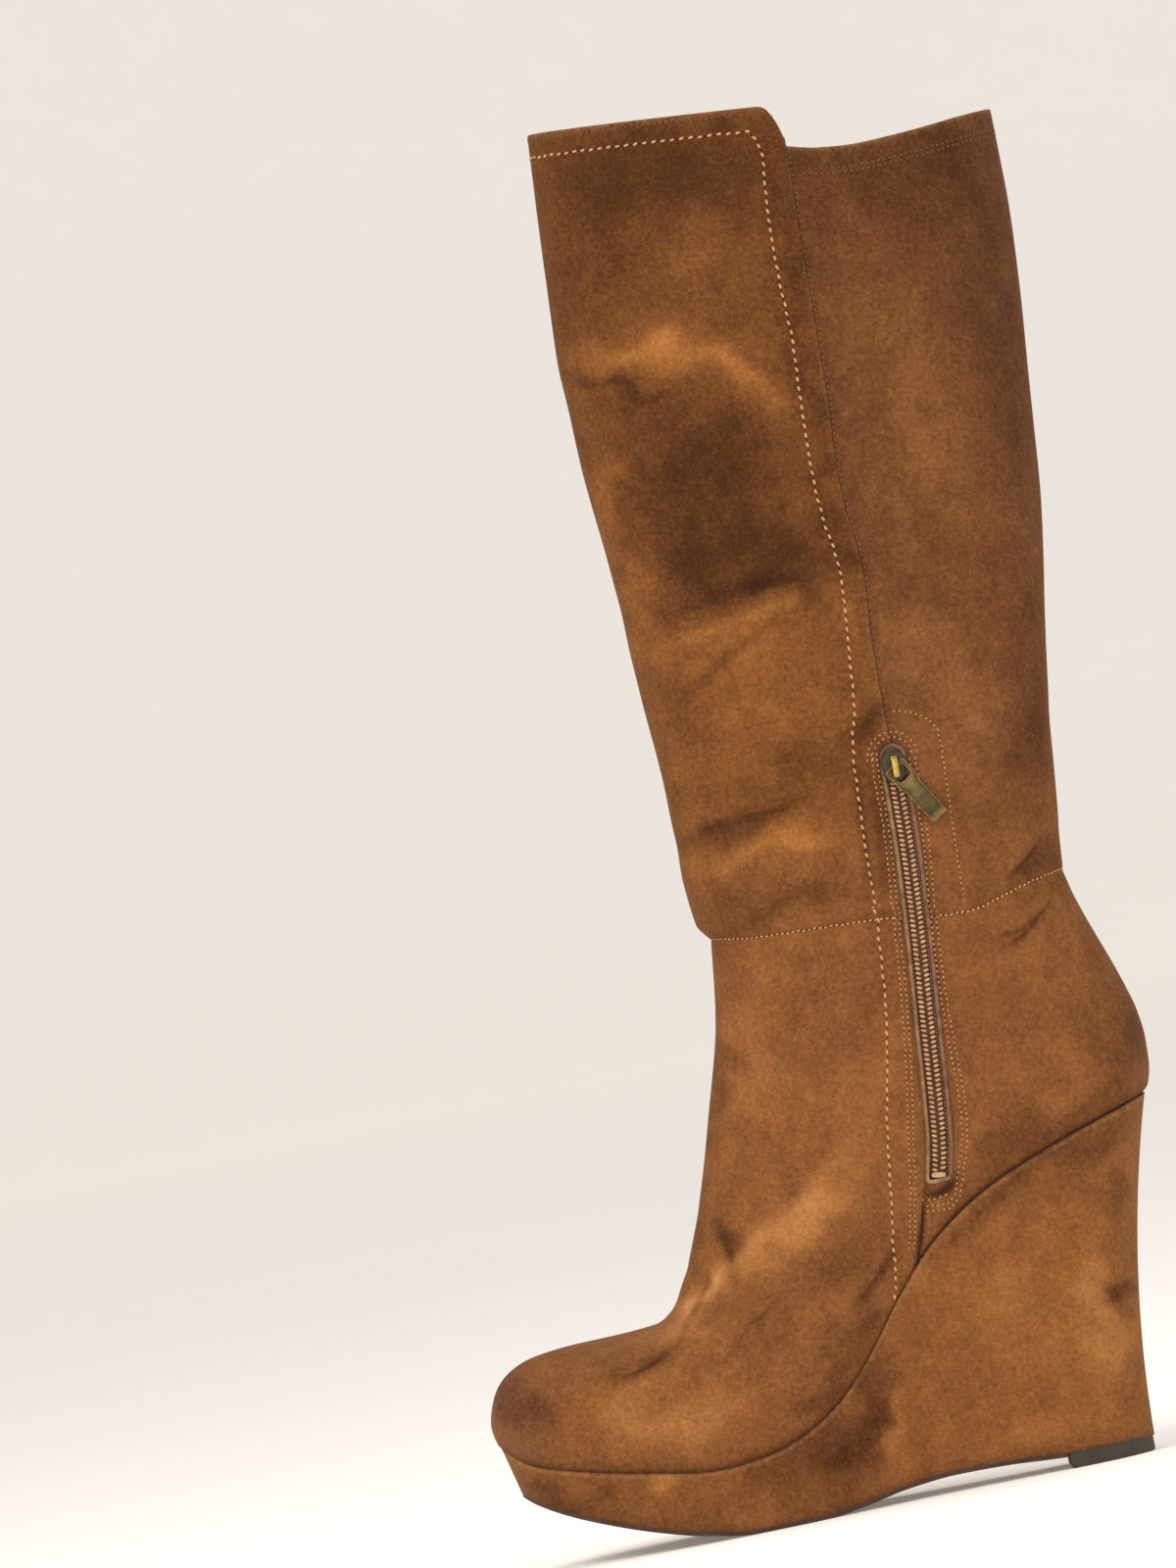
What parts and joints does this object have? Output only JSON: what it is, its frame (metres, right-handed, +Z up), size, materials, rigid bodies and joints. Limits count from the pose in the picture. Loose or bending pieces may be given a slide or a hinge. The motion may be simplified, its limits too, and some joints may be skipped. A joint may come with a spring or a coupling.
{
  "type": "knee-high boot",
  "caption": "Knee-high suede wedge boot with a thin platform, a short zip on the inner ankle and a slack open shaft.",
  "frame": {"origin": "on the floor, at the middle of the heel tip's flat underside", "axes": "+X from toe to heel, +Y from the inner (zip) side of the foot to the outer side, +Z up the shaft"},
  "size_m": [0.2669, 0.0919, 0.504],
  "materials": {
    "suede": "brushed microsuede nap",
    "sock_cloth": "matte woven lining",
    "sole_rubber": "matte",
    "tip_rubber": "satin",
    "tape_cloth": "woven",
    "coil_nylon": "satin",
    "old_brass": "dark antique"
  },
  "bodies": {
    "boot": {"upper": "suede", "shaft": "suede", "wedge": "suede", "outsole": "sole_rubber", "heel_tip": "tip_rubber", "insole": "sock_cloth", "zip_tape": "tape_cloth", "zip_coil": "coil_nylon", "zip_stop": "old_brass", "zip_slider": "old_brass"},
    "pull": {"zip_pull": "old_brass"}
  },
  "joints": [
    {"name": "pull_flip", "type": "hinge", "parent": "boot", "child": "pull", "pos_m": [-0.02793, -0.03558, 0.25743], "axis": [-0.8522, -0.0519, -0.5207], "range_deg": [0, 160]}
  ]
}
